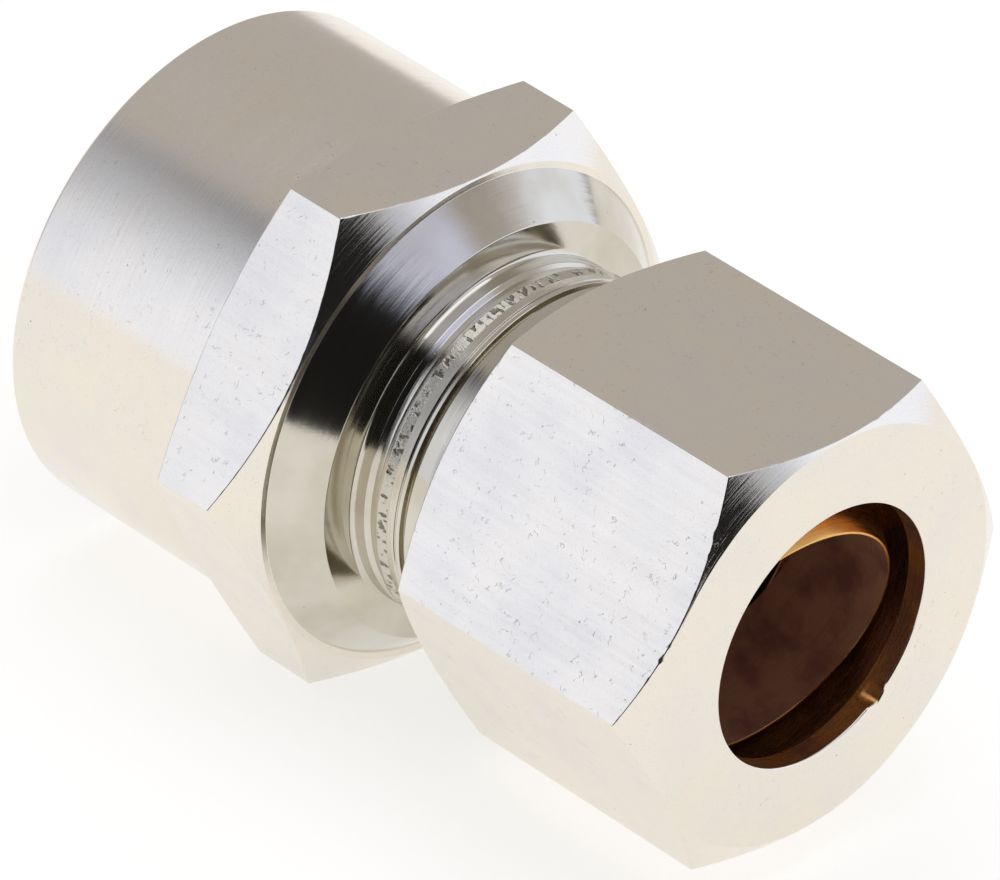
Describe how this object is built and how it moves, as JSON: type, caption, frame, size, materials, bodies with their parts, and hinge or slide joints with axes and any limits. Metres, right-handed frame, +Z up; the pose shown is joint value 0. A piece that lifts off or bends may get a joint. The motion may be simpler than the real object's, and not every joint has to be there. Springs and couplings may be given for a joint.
{
  "type": "compression fitting",
  "caption": "Straight plated compression fitting: a hexagon nut with a loose brass olive takes a plain tube, and a round socket with a female pipe thread opens at the other end.",
  "frame": {"origin": "centre of the pipe socket's open end, on the fitting's axis", "axes": "+X along the axis, from the pipe socket towards the compression nut; +Z up, square to a flat of the body's hexagon"},
  "size_m": [0.0376, 0.0278, 0.024],
  "materials": {
    "plated_body": "bright plating over turned brass, brushed on the barrel and flats, mirror-bright on the neck",
    "plated_nut": "bright plating over brass, flats as drawn, end face finely turned",
    "bare_brass": "plain turned brass"
  },
  "bodies": {
    "fitting_body": {"fitting_body": "plated_body"},
    "olive": {"olive": "bare_brass"},
    "nut": {"compression_nut": "plated_nut"}
  },
  "joints": [
    {"name": "nut_travel", "type": "slide", "parent": "fitting_body", "child": "olive", "axis": [1, 0, 0], "range_m": [-0.0015, 0.0025]},
    {"name": "nut_turn", "type": "hinge", "parent": "olive", "child": "nut", "pos_m": [0.03, 0, 0], "axis": [1, 0, 0], "range_deg": [-540, 900]}
  ],
  "couplings": [
    {"joint": "nut_turn", "follows": "nut_travel", "rad_per_m": 6283.2}
  ]
}
